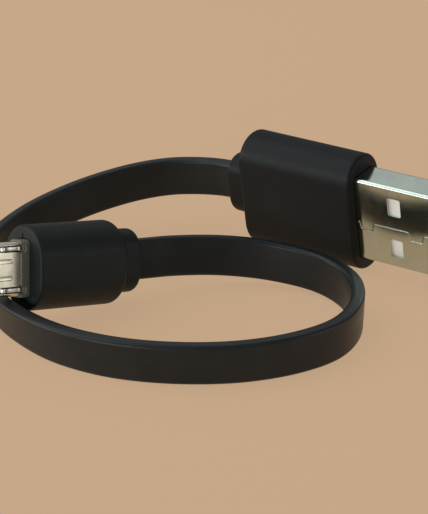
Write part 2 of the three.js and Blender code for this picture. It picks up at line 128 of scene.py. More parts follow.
A_GRIP = dict(
    body=dict(length=18.3, width=16.7, thickness=7.2, corner=3.5, rear=0.9, edge=0.4, front=0.5),
    collar=dict(length=3.2, width=8.6, thickness=4.8, corner=2.3, rear=0.7, edge=0.3),
    pocket=dict(depth=15.4, width=12.9, thickness=5.3, corner=0.4),
    lip=dict(depth=1.2, width=12.06, thickness=4.56, corner=0.53),
    groove=dict(half=0.12, depth=0.0, reach=(0, 0)),
)
M_GRIP = dict(
    body=dict(length=13.4, width=10.9, thickness=8.4, corner=4.1, rear=1.1, edge=0.5, front=0.4),
    collar=dict(length=3.4, width=8.3, thickness=4.8, corner=2.3, rear=0.8, edge=0.3),
    pocket=dict(depth=9.8, width=8.1, thickness=3.2, corner=0.4),
    lip=dict(depth=0.6, width=7.36, thickness=2.86, corner=0.72),
    groove=dict(half=0.12, depth=0.3, reach=(3.3, 4.4)),
)
WIRE_SLOT = dict(width=4.4, thickness=1.0, corner=0.45)
MOUTH = dict(play=0.1, depth=1.0, turn=0.15, parts=(1.0, 0.5, 0.15, 0.0))  # where the ribbon enters a collar
COLLAR_ROOT = 0.15  # chamfer where a collar meets its body
REAR_STEPS = 8
FILLET_STEPS = 6
GRIP_ARC = 10
SLIVER = 0.02  # of flat left between a section's rounded corners
FACE_RINGS = (0.25, 0.5, 0.62, 0.75, 0.88)  # rings on the front face, from its fillet to the mouth
LIP_FLARES = ((0.0, 0.08), (-0.03, 0.03), (-0.1, 0.0))  # x, and how much the shell's mouth is wider there
POCKET_STEP = 0.2  # the slope between the lip and the pocket behind it
GRIP_SHARP = math.radians(40)

A_SHELL = dict(tip=12.2, rear=-8.8, width=12.0, height=4.5, wall=0.3, corner=0.5, inner_corner=0.25, arc=7)
A_TIP_TURN = ((-0.35, 0.0), (-0.12, 0.03), (0.0, 0.12))  # x from the tip, and how far the wall is turned in
A_WINDOW = dict(x=6.05, y=3.06, length=2.0, width=2.6, corner=0.25, arc=4)
# rim, bright and slope: the sloped lips above and below the seam
A_SEAM = dict(
    gap=0.03, y=-0.05, drop=1.15, neck=2.15, foot=1.65, tabs=(-6.3, 1.5, 9.3), turn=0.2,
    rim=0.02, bright=0.1, slope=0.17,
)
A_BLOCK = dict(rear=-8.6, front=2.2, tongue_tip=11.7, tongue_back=0.12)
A_CONTACT = dict(width=1.0, thickness=0.25, rear=-9.2, groove=0.16, nose=0.5, nose_end=0.08)
A_NOSE_ANGLES = (0, 0.5, 1.0, math.pi / 2)  # around the rounded nose, from the face to the tip
A_CONTACTS = dict(gnd=(3.5, 10.9), d_plus=(1.0, 9.9), d_minus=(-1.0, 9.9), vbus=(-3.5, 10.9))

M_SHELL = dict(tip=6.3, rear=-5.0, width=6.85, narrow=5.3, height=1.8, wall=0.22, waist=-0.1, corner=0.45)
M_SHELL_BEND = 0.22
M_SHELL_ARC = 7
# edge and end: where the boss's front edge starts to turn, and its front's share of the full section
M_BOSS = dict(rear=-0.9, length=1.1, width=7.3, thickness=2.8, corner=0.7, arc=6, edge=0.12, end=0.985)
# the block behind the boss, inside the overmould
M_CORE = dict(width=8.0, thickness=3.1, corner=0.35, rear=-9.7, front=-0.75)
M_SLOT = dict(y=2.6, start=0.6, end=4.2, width=0.85)
NOTCH_RIM = 0.26  # between a latch slot and the notch around it in the boss
M_DIMPLE = dict(y=1.07, start=2.1, end=4.7, width=0.64, depth=0.12, slope=0.1)
CAPSULE_FLAT = 0.005  # of a slot's or dimple's end left straight
CAPSULE_ARC = 6
M_LATCH = dict(width=0.55, thickness=0.2)
# the latch's middle line from root to hook, x and z
M_LATCH_LINE = [
    (-4.6, 0.42), (-2.5, 0.42), (0.0, 0.42), (0.55, 0.46), (0.8, 0.64), (1.0, 0.9), (1.14, 0.93),
    (1.3, 0.81), (1.6, 0.79), (2.2, 0.79), (2.8, 0.81), (3.15, 0.88), (3.45, 1.0), (3.68, 0.98),
    (3.82, 0.67), (3.84, 0.42),
]
M_BLOCK = dict(rear=-4.9, front=0.9, tongue_tip=5.9, core=4.1, top=-0.2, overlap=0.5, inset=0.001)
# open: height over the tongue; slot: where the contacts stand free of it
M_GROOVE = dict(open=0.45, slot_from=0.3, slot_past=0.2)
M_CONTACT = dict(width=0.36, thickness=0.12, rear=-5.4, tip=5.4, pitch=0.65, bump=0.24, straight_to=2.2)
M_CONTACT_BENDS = ((-1.9, 0.45), (-1.1, 1.0), (-0.5, 0.6))  # x from the tip, and share of the bump
M_CONTACT_END = (-0.03, -0.02)  # x from the tip, z from the straight part
M_CONTACTS = dict(vbus=-2, d_minus=-1, d_plus=0, id=1, gnd=2)
FIT_GAP = 0.06  # between pieces that are pushed into each other
STRIP_SAMPLES = 6
STRIP_CORNER = 0.42  # share of a strip's thickness
CUT_PAST = 1.0  # how far a cutting tool reaches past what it cuts
SEAM_PAST = 0.1  # the same for the seam's, inside the shell
EDGE_TURN = dict(shell=0.035, tongue=0.04, blade=0.03, boss=0.05, core=0.02)

# ---------------------------------------------------------------- materials

WEAK_AND_STRONG = (0.3, 0.7)  # the noise values where a material's variation starts and ends
BRIGHT_METAL, DULL_METAL, DULL = 1.05, 0.92, 0.9  # shares of a material's colour
# noise scales in waves per metre, bump depths in mm; spread is the roughness' range, or its range as a share
OVERMOULD = dict(
    ior=1.46, specular=0.27, cloud=420, grain=7500, pits=3600, spread=(0.46, 0.58), depth=0.012,
    pit_bump=0.3, grain_bump=0.45,
)
JACKET = dict(
    ior=1.47, specular=0.3, cloud=260, grain=6500, lines=(60, 2600, 1), drag=(25, 700, 1), spread=(0.3, 0.42),
    depth=0.008, line_bump=0.4, grain_bump=0.25, low=(0.012, 0.0155, 0.0175), high=(0.016, 0.0205, 0.0225),
)
SHELL_METAL = dict(cloud=300, handling=900, spread=(0.85, 1.2), depth=0.006)
PLAIN_METAL = dict(cloud=1500, spread=(0.8, 1.25), depth=0.004, bump=0.3)
PLASTIC = dict(cloud=500, grain=4500, spread=(0.85, 1.15), depth=0.01, specular=0.5, bump=0.4)


class Nodes:
    """A new material's node tree, with short calls for the nodes used here.

    Scales are in waves per metre, and so are the stretches where the scale is 1; bump depths are in mm.
    """

    def __init__(self, name):
        self.material = bpy.data.materials.new(name)
        self.material.use_nodes = True
        self.tree = self.material.node_tree
        self.shader = self.tree.nodes["Principled BSDF"]
        self.coords = self.tree.nodes.new("ShaderNodeTexCoord")

    def link(self, source, target):
        self.tree.links.new(source, target)

    def noise(self, scale, stretch=(1, 1, 1), detail=2.0, roughness=0.5, source="Object"):
        mapping = self.tree.nodes.new("ShaderNodeMapping")
        mapping.inputs["Scale"].default_value = stretch
        self.link(self.coords.outputs[source], mapping.inputs["Vector"])
        node = self.tree.nodes.new("ShaderNodeTexNoise")
        node.inputs["Scale"].default_value = scale
        node.inputs["Detail"].default_value = detail
        node.inputs["Roughness"].default_value = roughness
        self.link(mapping.outputs["Vector"], node.inputs["Vector"])
        return node.outputs["Fac"]

    def blend(self, source, low, high):
        """The colour low where the source is weak, high where it is strong."""
        node = self.tree.nodes.new("ShaderNodeValToRGB")
        for element, place, colour in zip(node.color_ramp.elements, WEAK_AND_STRONG, (low, high)):
            element.position = place
            element.color = (*colour, 1)
        self.link(source, node.inputs["Fac"])
        return node.outputs["Color"]

    def spread(self, source, low, high):
        """The same for a value."""
        node = self.tree.nodes.new("ShaderNodeMapRange")
        node.inputs["From Min"].default_value, node.inputs["From Max"].default_value = WEAK_AND_STRONG
        node.inputs["To Min"].default_value = low
        node.inputs["To Max"].default_value = high
        self.link(source, node.inputs["Value"])
        return node.outputs["Result"]

    def bump(self, height, strength, distance_mm, below=None):
        node = self.tree.nodes.new("ShaderNodeBump")
        node.inputs["Strength"].default_value = strength
        node.inputs["Distance"].default_value = distance_mm * MM
        self.link(height, node.inputs["Height"])
        if below is not None:
            self.link(below, node.inputs["Normal"])
        return node.outputs["Normal"]

    def set(self, **values):
        for name, value in values.items():
            self.shader.inputs[name.replace("_", " ")].default_value = value

    def feed(self, **sources):
        for name, source in sources.items():
            self.link(source, self.shader.inputs[name.replace("_", " ")])


def overmould_material(name, low, high):
    n, m = Nodes(name), OVERMOULD
    n.set(Metallic=0.0, IOR=m["ior"], Specular_IOR_Level=m["specular"])
    cloud = n.noise(m["cloud"], detail=3)
    n.feed(Base_Color=n.blend(cloud, low, high))
    grain = n.noise(m["grain"], detail=2.5, roughness=0.6)
    pits = n.noise(m["pits"], detail=1)
    n.feed(Roughness=n.spread(pits, *m["spread"]))
    pitted = n.bump(pits, m["pit_bump"], m["depth"])
    n.feed(Normal=n.bump(grain, m["grain_bump"], m["depth"], pitted))
    return n.material


def jacket_material():
    n, m = Nodes("ribbon_jacket"), JACKET
    n.set(Metallic=0.0, IOR=m["ior"], Specular_IOR_Level=m["specular"])
    cloud = n.noise(m["cloud"], detail=3)
    n.feed(Base_Color=n.blend(cloud, m["low"], m["high"]))
    lines = n.noise(1, m["lines"], detail=3, source="UV")
    drag = n.noise(1, m["drag"], detail=1, source="UV")
    grain = n.noise(m["grain"], detail=2)
    n.feed(Roughness=n.spread(drag, *m["spread"]))
    lined = n.bump(lines, m["line_bump"], m["depth"])
    n.feed(Normal=n.bump(grain, m["grain_bump"], m["depth"], lined))
    return n.material


def shell_material(name, colour, roughness, brush, strength):
    n, m = Nodes(name), SHELL_METAL
    n.set(Metallic=1.0)
    cloud = n.noise(m["cloud"], detail=4)
    bright = tuple(min(1, part * BRIGHT_METAL) for part in colour)
    dull = tuple(part * DULL_METAL for part in colour)
    n.feed(Base_Color=n.blend(cloud, dull, bright))
    streaks = n.noise(1, brush, detail=3, roughness=0.6)
    handling = n.noise(m["handling"], detail=3)
    n.feed(Roughness=n.spread(handling, *(roughness * share for share in m["spread"])))
    n.feed(Normal=n.bump(streaks, strength, m["depth"]))
    return n.material


def plain_metal(name, colour, roughness, grain):
    n, m = Nodes(name), PLAIN_METAL
    n.set(Metallic=1.0)
    cloud = n.noise(m["cloud"], detail=2)
    dull = tuple(part * DULL for part in colour)
    n.feed(Base_Color=n.blend(cloud, dull, colour))
    n.feed(Roughness=n.spread(cloud, *(roughness * share for share in m["spread"])))
    n.feed(Normal=n.bump(n.noise(grain, detail=2), m["bump"], m["depth"]))
    return n.material


def plastic(name, colour, roughness, **changes):
    n, m = Nodes(name), {**PLASTIC, **changes}
    n.set(Metallic=0.0, Specular_IOR_Level=m["specular"])
    cloud = n.noise(m["cloud"], detail=3)
    dull = tuple(part * DULL for part in colour)
    n.feed(Base_Color=n.blend(cloud, dull, colour))
    texture = n.noise(m["grain"], detail=2)
    n.feed(Roughness=n.spread(texture, *(roughness * share for share in m["spread"])))
    n.feed(Normal=n.bump(texture, m["bump"], m["depth"]))
    return n.material


MATERIALS = {
    # Painted shade and painted light: both grips are the same overmould plastic, but the USB-A grip's colour is
    # made darker and the Micro-USB grip's lighter to stand in for how each is lit.
    "usb_a_grip": overmould_material("usb_a_grip", (0.0035, 0.0062, 0.0075), (0.0055, 0.009, 0.0105)),
    "micro_grip": overmould_material("micro_grip", (0.0075, 0.0125, 0.0125), (0.0105, 0.016, 0.016)),
    "ribbon_jacket": jacket_material(),
    "usb_a_shell_metal": shell_material(
        "usb_a_shell_metal", (0.53, 0.62, 0.56), roughness=0.15, brush=(26000, 900, 9000), strength=0.35),
    "micro_shell_metal": shell_material(
        "micro_shell_metal", (0.76, 0.75, 0.62), roughness=0.3, brush=(2500, 26000, 9000), strength=0.15),
    "spring_steel": plain_metal("spring_steel", (0.9, 0.9, 0.84), 0.32, 6000),
    "gold_contact": plain_metal("gold_contact", (0.88, 0.66, 0.3), 0.2, 7000),
    "white_insulator": plastic("white_insulator", (0.93, 0.95, 0.9), 0.42),
    "black_insulator": plastic("black_insulator", (0.012, 0.012, 0.012), 0.4),
    "inner_mould": plastic("inner_mould", (0.17, 0.18, 0.15), 0.5, grain=5200, depth=0.02, specular=0.4),
    "wire_red": plastic("wire_red", (0.42, 0.02, 0.015), 0.4),
    "wire_white": plastic("wire_white", (0.76, 0.75, 0.7), 0.4),
    "wire_green": plastic("wire_green", (0.02, 0.24, 0.06), 0.4),
    "wire_black": plastic("wire_black", (0.008, 0.008, 0.008), 0.4),
}

# ---------------------------------------------------------------- mesh helpers

SHARP = math.radians(32)
SHELL_SHARP = math.radians(40)
WELD_MM = 0.0005
FLAT = math.radians(0.5)  # faces that meet at less than this become one


def new_object(name, points_mm, faces, matrix):
    mesh = bpy.data.meshes.new(name)
    mesh.from_pydata([tuple(c * MM for c in p) for p in points_mm], [], faces)
    mesh.update()
    obj = bpy.data.objects.new(name, mesh)
    obj.matrix_world = matrix
    bpy.context.scene.collection.objects.link(obj)
    return obj


def outward(obj):
    """Turns every face outward."""
    bm = bmesh.new()
    bm.from_mesh(obj.data)
    bmesh.ops.recalc_face_normals(bm, faces=bm.faces)
    bm.to_mesh(obj.data)
    bm.free()
    obj.data.update()


def bake(obj):
    """Applies the object's modifiers to its mesh."""
    graph = bpy.context.evaluated_depsgraph_get()
    mesh = bpy.data.meshes.new_from_object(obj.evaluated_get(graph), depsgraph=graph)
    obj.modifiers.clear()
    old = obj.data
    obj.data = mesh
    bpy.data.meshes.remove(old)


def combine(obj, tools, operation):
    """Cuts the tools from obj, or joins them to it, and removes them."""
    for tool in tools:
        modifier = obj.modifiers.new("combine", "BOOLEAN")
        modifier.operation = operation
        modifier.solver = "EXACT"
        modifier.object = tool
    bpy.context.view_layer.update()
    bake(obj)
    for tool in tools:
        bpy.data.objects.remove(tool)
    return obj


def soften(obj, width_mm, segments=2, angle=SHARP):
    """Rounds the sharp edges, after clearing the loose points that a cut leaves."""
    bm = bmesh.new()
    bm.from_mesh(obj.data)
    bmesh.ops.remove_doubles(bm, verts=bm.verts, dist=WELD_MM * MM)
    bmesh.ops.dissolve_limit(bm, angle_limit=FLAT, verts=bm.verts, edges=bm.edges)
    bm.to_mesh(obj.data)
    bm.free()
    modifier = obj.modifiers.new("soften", "BEVEL")
    modifier.width = width_mm * MM
    modifier.segments = segments
    modifier.limit_method = "ANGLE"
    modifier.angle_limit = angle
    modifier.use_clamp_overlap = True
    modifier.harden_normals = False
    bpy.context.view_layer.update()
    bake(obj)
    return obj


def dress(obj, slot, nodes, body=BODY, sharp=SHARP, material=None):
    """Smooth shading, material and body, in place of the named CAD nodes.

    The material is the slot's own unless another is named.
    """
    outward(obj)
    for polygon in obj.data.polygons:
        polygon.use_smooth = True
    obj.data.set_sharp_from_angle(angle=sharp)
    weighted = obj.modifiers.new("even_shading", "WEIGHTED_NORMAL")
    weighted.keep_sharp = True
    obj.data.materials.clear()
    obj.data.materials.append(MATERIALS[material or slot])
    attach(obj, body)
    if nodes:
        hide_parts(*nodes)
    return obj


def rounded_ring(width, height, radius, arc=8, seam=0.0, centre=(0.0, 0.0)):
    """A rounded rectangle's points.

    With seam, the sides at both ends of its width also carry points, up to that far from their middle.
    """
    radius = min(radius, width / 2, height / 2)
    half = (width / 2 - radius, height / 2 - radius)
    points = []
    for corner, (side, level) in enumerate(((1, 1), (-1, 1), (-1, -1), (1, -1))):
        for i in range(arc + 1):
            angle = math.pi / 2 * (corner + i / arc)
            points.append((
                side * half[0] + radius * math.cos(angle), level * half[1] + radius * math.sin(angle)))
        if seam and corner in (1, 3):
            down = 1 if corner == 1 else -1
            points += [(side * width / 2, down * seam * part) for part in (1, 0.5, 0, -0.5, -1)]
    return [(x + centre[0], y + centre[1]) for x, y in points]


def loft(name, rings, matrix, closed=False):
    """A surface through rings of equal count; open ends are closed by a face, a closed loft meets itself."""
    count = len(rings[0])
    points = [point for ring in rings for point in ring]
    faces = []
    for r in range(len(rings) if closed else len(rings) - 1):
        here, there = r * count, ((r + 1) % len(rings)) * count
        for i in range(count):
            j = (i + 1) % count
            faces.append((here + i, here + j, there + j, there + i))
    if not closed:
        faces.append(tuple(reversed(range(count))))
        faces.append(tuple(range(len(points) - count, len(points))))
    obj = new_object(name, points, faces, matrix)
    outward(obj)
    return obj


def turned(before, corner, after, size, steps=4):
    """The rounded corner between two straight edges, as a curve that starts and ends size away from it."""
    before, corner, after = Vector(before), Vector(corner), Vector(after)
    a = corner + (before - corner).normalized() * size
    b = corner + (after - corner).normalized() * size
    return [
        tuple(a * (1 - t) ** 2 + corner * 2 * t * (1 - t) + b * t * t)
        for t in (i / steps for i in range(steps + 1))
    ]


AXES = {"x": (1, 2, 0), "y": (0, 2, 1), "z": (0, 1, 2)}


def prism(name, outline, axis, low, high, matrix):
    """A flat outline drawn out along an axis: outline pairs are (Y, Z), (X, Z) or (X, Y)."""
    first, second, along = AXES[axis]
    rings = []
    for level in (low, high):
        ring = []
        for a, b in outline:
            point = [0.0, 0.0, 0.0]
            point[first], point[second], point[along] = a, b, level
            ring.append(tuple(point))
        rings.append(ring)
    return loft(name, rings, matrix)


def block(name, low, high, matrix):
    outline = [(low[0], low[1]), (high[0], low[1]), (high[0], high[1]), (low[0], high[1])]
    return prism(name, outline, "z", low[2], high[2], matrix)


# ---------------------------------------------------------------- ribbon


def spline(points, per_span):
    """Centripetal Catmull-Rom curve through the points, per_span samples between neighbours."""
    p = np.array(points, float)
    ends = [2 * p[0] - p[1]], [2 * p[-1] - p[-2]]
    p = np.vstack((ends[0], p, ends[1]))
    samples = []
    for i in range(1, len(p) - 2):
        q0, q1, q2, q3 = p[i - 1:i + 3]
        t = np.cumsum([0] + [np.linalg.norm(b - a) ** 0.5 for a, b in ((q0, q1), (q1, q2), (q2, q3))])
        for k in range(per_span):
            u = t[1] + (t[2] - t[1]) * k / per_span
            a1 = (q0 * (t[1] - u) + q1 * (u - t[0])) / (t[1] - t[0])
            a2 = (q1 * (t[2] - u) + q2 * (u - t[1])) / (t[2] - t[1])
            a3 = (q2 * (t[3] - u) + q3 * (u - t[2])) / (t[3] - t[2])
            b1 = (a1 * (t[2] - u) + a2 * (u - t[0])) / (t[2] - t[0])
            b2 = (a2 * (t[3] - u) + a3 * (u - t[1])) / (t[3] - t[1])
            samples.append((b1 * (t[2] - u) + b2 * (u - t[1])) / (t[2] - t[1]))
    samples.append(p[-2])
    return np.array(samples)


def plug_point(matrix, x, y=0.0, z=0.0):
    """Where a point of a plug's frame is in the world, both in mm."""
    return np.array(matrix @ Vector((x * MM, y * MM, z * MM))) / MM


def rear_end(grip):
    return -(grip["body"]["length"] + grip["collar"]["length"])


def ribbon_stations():
    """Evenly spaced places along the ribbon, how far the section leans at each, and how far along each is."""
    rear_a, rear_m = rear_end(A_GRIP), rear_end(M_GRIP)
    gap, inside = RIBBON["gap"], RIBBON["into_collar"]
    start, finish = plug_point(USB_A, rear_a - gap), plug_point(MICRO, rear_m - gap)
    rows = [(*start, RIBBON_LEAN["usb_a"]), *RIBBON_ROUTE, (*finish, RIBBON_LEAN["micro"])]
    places = spline([row[:3] for row in rows], ROUTE_SAMPLES)
    leans = spline([(row[3], 0.0, index) for index, row in enumerate(rows)], ROUTE_SAMPLES)[:, 0]
    places = np.vstack((plug_point(USB_A, rear_a + inside), places, plug_point(MICRO, rear_m + inside)))
    leans = np.concatenate(([leans[0]], leans, [leans[-1]]))
    reach = np.concatenate(([0], np.cumsum(np.linalg.norm(np.diff(places, axis=0), axis=1))))
    even = np.linspace(0, reach[-1], int(reach[-1] / RIBBON["step"]) + 1)
    path = np.column_stack([np.interp(even, reach, places[:, axis]) for axis in range(3)])
    return path, np.interp(even, reach, leans), even


def add_ribbon():
    path, leans, reach = ribbon_stations()
    section = rounded_ring(RIBBON["width"], RIBBON["thickness"], RIBBON["corner"], RIBBON["arc"])
    tangents = np.gradient(path, axis=0)
    tangents /= np.linalg.norm(tangents, axis=1)[:, None]
    rings = []
    for place, tangent, lean, along in zip(path, tangents, np.radians(leans), reach):
        out = np.cross(tangent, (0, 0, 1))
        out /= np.linalg.norm(out)
        upright = np.cross(out, tangent)
        across = upright * math.cos(lean) + out * math.sin(lean)
        through = np.cross(tangent, across)
        swell = 1 + sum(share * math.sin(along / length + phase) for share, length, phase in SWELLS)
        rings.append([tuple(place + across * a + through * b * swell) for a, b in section])
    ribbon = loft("ribbon", rings, Matrix.Identity(4))
    uv = ribbon.data.uv_layers.new(name="along_and_around")
    lengths = [0.0]
    for a, b in zip(section, section[1:] + section[:1]):
        lengths.append(lengths[-1] + math.dist(a, b))
    count = len(section)
    for polygon in ribbon.data.polygons:
        wraps = any(ribbon.data.loops[l].vertex_index % count == count - 1 for l in polygon.loop_indices)
        for l in polygon.loop_indices:
            ring, spot = divmod(ribbon.data.loops[l].vertex_index, count)
            around = lengths[count] if wraps and spot == 0 else lengths[spot]
            uv.data[l].uv = (reach[ring] * MM, around * MM)
    dress(ribbon, "ribbon_jacket", ["cable_jacket"])


add_ribbon()

# ---------------------------------------------------------------- overmoulds


def moulded_run(x_rear, x_front, shape):
    """Sections (x, width, thickness, corner) from a rear end forward.

    The rear end is rounded in plan by shape's rear radius and through the thickness by its edge radius.
    """
    rear, edge = shape["rear"], shape["edge"]
    depths = sorted({
        round(radius * (1 - math.cos(math.pi / 2 * i / REAR_STEPS)), 5)
        for radius in (rear, edge) for i in range(REAR_STEPS + 1)
    })

    def inset(radius, depth):
        return radius - math.sqrt(max(0.0, radius ** 2 - max(0.0, radius - depth) ** 2))

    run = []
    for depth in depths:
        width = shape["width"] - 2 * inset(rear, depth)
        thickness = shape["thickness"] - 2 * inset(edge, depth)
        run.append((x_rear + depth, width, thickness, min(shape["corner"], thickness / 2 - SLIVER)))
    run.append((x_front, shape["width"], shape["thickness"], shape["corner"]))
    return run


def add_overmould(name, grip, matrix, node):
    body, collar, pocket, lip = grip["body"], grip["collar"], grip["pocket"], grip["lip"]
    groove = grip["groove"]
    rear, play, turn = rear_end(grip), MOUTH["play"], MOUTH["turn"]
    mouth = (RIBBON["width"] + play, RIBBON["thickness"] + play, RIBBON["corner"] + play / 2)
    slot = (WIRE_SLOT["width"], WIRE_SLOT["thickness"], WIRE_SLOT["corner"])
    profile = [(-pocket["depth"], *slot), (rear + MOUTH["depth"], *slot), (rear + MOUTH["depth"], *mouth)]
    for part in MOUTH["parts"]:
        flare = turn * (1 - part)
        profile.append((rear + turn * part, mouth[0] + 2 * flare, mouth[1] + 2 * flare, mouth[2] + flare))
    profile += moulded_run(rear, -body["length"] - COLLAR_ROOT, collar)
    profile.append((
        -body["length"], collar["width"] + 2 * COLLAR_ROOT, collar["thickness"] + 2 * COLLAR_ROOT,
        collar["corner"] + COLLAR_ROOT))
    front = body["front"]
    profile += moulded_run(-body["length"], -front, body)
    for i in range(1, FILLET_STEPS + 1):
        angle = math.pi / 2 * i / FILLET_STEPS
        inset = front * (1 - math.cos(angle))
        profile.append((
            -front + front * math.sin(angle), body["width"] - 2 * inset, body["thickness"] - 2 * inset,
            body["corner"] - inset))
    flare = LIP_FLARES[0][1]
    outer = (body["width"] - 2 * front, body["thickness"] - 2 * front, body["corner"] - front)
    inner = (lip["width"] + 2 * flare, lip["thickness"] + 2 * flare, lip["corner"] + flare)
    for part in FACE_RINGS:
        profile.append((0.0, *(a + (b - a) * part for a, b in zip(outer, inner))))
    for x, flare in (*LIP_FLARES, (-lip["depth"], 0.0)):
        profile.append((
            x, lip["width"] + 2 * flare, lip["thickness"] + 2 * flare, lip["corner"] + flare))
    hollow = (pocket["width"], pocket["thickness"], pocket["corner"])
    profile += [(-lip["depth"] - POCKET_STEP, *hollow), (-pocket["depth"], *hollow)]
    rings = []
    for x, width, thickness, corner in profile:
        ring = []
        for y, z in rounded_ring(width, thickness, corner, GRIP_ARC, seam=groove["half"]):
            depth = 0.0
            closeness = max(0.0, 1 - abs(z) / groove["half"])
            if closeness and x > -groove["depth"] and groove["reach"][0] < abs(y) < groove["reach"][1]:
                depth = groove["depth"] * closeness
            ring.append((x - depth, y, z))
        rings.append(ring)
    grip_object = loft(name, rings, matrix, closed=True)
    # Each grip takes its own copy of the overmould plastic: darker on the USB-A grip and lighter on the Micro-USB
    # grip, as painted shade and painted light.
    return dress(grip_object, "overmould", [node], sharp=GRIP_SHARP, material=name)


add_overmould("usb_a_grip", A_GRIP, USB_A, "usb_a_overmould")
add_overmould("micro_grip", M_GRIP, MICRO, "micro_overmould")

# ---------------------------------------------------------------- USB-A plug


def seam_outline(above, below):
    """The band between the shell's two edges, with a keyed step at each tab; above and below widen it."""
    level, drop = A_SEAM["y"], A_SEAM["drop"]

    def edge(shift):
        line = [(A_SHELL["rear"] - CUT_PAST, level + shift)]
        for tab in A_SEAM["tabs"]:
            top, foot = A_SEAM["neck"] / 2 - shift, A_SEAM["foot"] / 2 - shift
            line += [(tab - top, level + shift), (tab - foot, level - drop + shift)]
            line += [(tab + foot, level - drop + shift), (tab + top, level + shift)]
        line.append((A_SHELL["tip"] + CUT_PAST, level + shift))
        smooth = [line[0]]
        for before, corner, after in zip(line, line[1:], line[2:]):
            smooth += turned(before, corner, after, A_SEAM["turn"])
        return smooth + [line[-1]]

    return edge(above) + edge(-below)[::-1]


def add_usb_a_shell():
    s, height, wall = A_SHELL, A_SHELL["height"], A_SHELL["wall"]
    turn = [(s["tip"] + x, inset) for x, inset in A_TIP_TURN]
    rings = []
    for x, inset in ((s["rear"], 0), *turn):
        outline = rounded_ring(s["width"] - 2 * inset, height - 2 * inset, s["corner"], s["arc"])
        rings.append([(x, y, z) for y, z in outline])
    shell = loft("usb_a_shell_body", rings, USB_A)
    rings = []
    for x, inset in ((s["rear"] - CUT_PAST, 0), *turn, (s["tip"] + CUT_PAST, turn[-1][1])):
        outline = rounded_ring(
            s["width"] - 2 * wall - 2 * inset, height - 2 * wall - 2 * inset, s["inner_corner"], s["arc"])
        rings.append([(x, y, z) for y, z in outline])
    tools = [loft("hollow", rings, USB_A)]
    window = A_WINDOW
    for side in (-1, 1):
        outline = rounded_ring(
            window["length"], window["width"], window["corner"], window["arc"],
            centre=(window["x"], side * window["y"]))
        tools.append(prism("window", outline, "z", -height, height, USB_A))
    half_gap, surface, slope = A_SEAM["gap"] / 2, height / 2, A_SEAM["slope"]
    seam = seam_outline(half_gap, half_gap)
    tools.append(prism("seam", seam, "z", surface - wall - SEAM_PAST, height, USB_A))
    lips = []
    for z, below in ((surface - slope, half_gap), (surface + slope, half_gap + 2 * A_SEAM["bright"])):
        lips.append([(x, y, z) for x, y in seam_outline(half_gap + A_SEAM["rim"], below)])
    tools.append(loft("seam_lip", lips, USB_A))
    combine(shell, tools, "DIFFERENCE")
    soften(shell, EDGE_TURN["shell"], angle=SHELL_SHARP)
    dress(shell, "usb_a_shell_metal", ["usb_a_shell"])


def add_usb_a_insulator():
    half_width = A_SHELL["width"] / 2 - A_SHELL["wall"] - FIT_GAP
    half_height = A_SHELL["height"] / 2 - A_SHELL["wall"] - FIT_GAP
    back, front, tip = A_BLOCK["tongue_back"], A_BLOCK["front"], A_BLOCK["tongue_tip"]
    outline = rounded_ring(2 * half_width, 2 * half_height, A_SHELL["corner"] - A_SHELL["wall"], 4)
    body = prism("usb_a_tongue", outline, "x", A_BLOCK["rear"], tip, USB_A)
    low, high = (front, -A_SHELL["width"], -A_SHELL["height"]), (tip + CUT_PAST, A_SHELL["width"], back)
    tools = [block("mouth", low, high, USB_A)]
    floor = back + A_CONTACT["groove"] + FIT_GAP
    opening = back + A_CONTACT["groove"] - A_CONTACT["thickness"] - FIT_GAP
    for y, contact_tip in A_CONTACTS.values():
        half = A_CONTACT["width"] / 2 + FIT_GAP
        low, high = (A_BLOCK["rear"] - CUT_PAST, y - half, opening), (contact_tip + FIT_GAP, y + half, floor)
        tools.append(block("groove", low, high, USB_A))
    combine(body, tools, "DIFFERENCE")
    soften(body, EDGE_TURN["tongue"])
    dress(body, "white_insulator", ["usb_a_insulator"])


def add_usb_a_contacts():
    back = A_BLOCK["tongue_back"] + A_CONTACT["groove"]
    face, end = back - A_CONTACT["thickness"], back - A_CONTACT["nose_end"]
    for name, (y, tip) in A_CONTACTS.items():
        nose = [
            (tip - A_CONTACT["nose"] * math.cos(a), end - (end - face) * math.cos(a) ** 2)
            for a in A_NOSE_ANGLES
        ]
        outline = [(A_CONTACT["rear"], face), *nose, (tip, back), (A_CONTACT["rear"], back)]
        half = A_CONTACT["width"] / 2
        blade = prism(f"usb_a_blade_{name}", outline, "y", y - half, y + half, USB_A)
        soften(blade, EDGE_TURN["blade"])
        dress(blade, "gold_contact", [f"usb_a_contact_{name}"])


add_usb_a_shell()
add_usb_a_insulator()
add_usb_a_contacts()

# ---------------------------------------------------------------- Micro-USB plug


def micro_outline(inset):
    """The shell's section: full width down to its waist, then slanted in to the narrow face."""
    half, low = M_SHELL["width"] / 2 - inset, M_SHELL["narrow"] / 2 - inset
    top, radius = M_SHELL["height"] / 2 - inset, M_SHELL["corner"] - inset
    points = [
        (half - radius + radius * math.cos(a), top - radius + radius * math.sin(a))
        for a in (math.pi / 2 * i / M_SHELL_ARC for i in range(M_SHELL_ARC + 1))
    ]
    mirrored = [(-y, z) for y, z in reversed(points)]
    side, foot = (half, M_SHELL["waist"]), (low, -top)
    lower_right = turned((0, -top), foot, side, M_SHELL_BEND) + turned(foot, side, (half, top), M_SHELL_BEND)
    lower_left = [(-y, z) for y, z in reversed(lower_right)]
    return points + mirrored + lower_left + lower_right


def capsule(start, end, y, width):
    centre = ((start + end) / 2, y)
    return rounded_ring(end - start, width, width / 2 - CAPSULE_FLAT, CAPSULE_ARC, centre=centre)


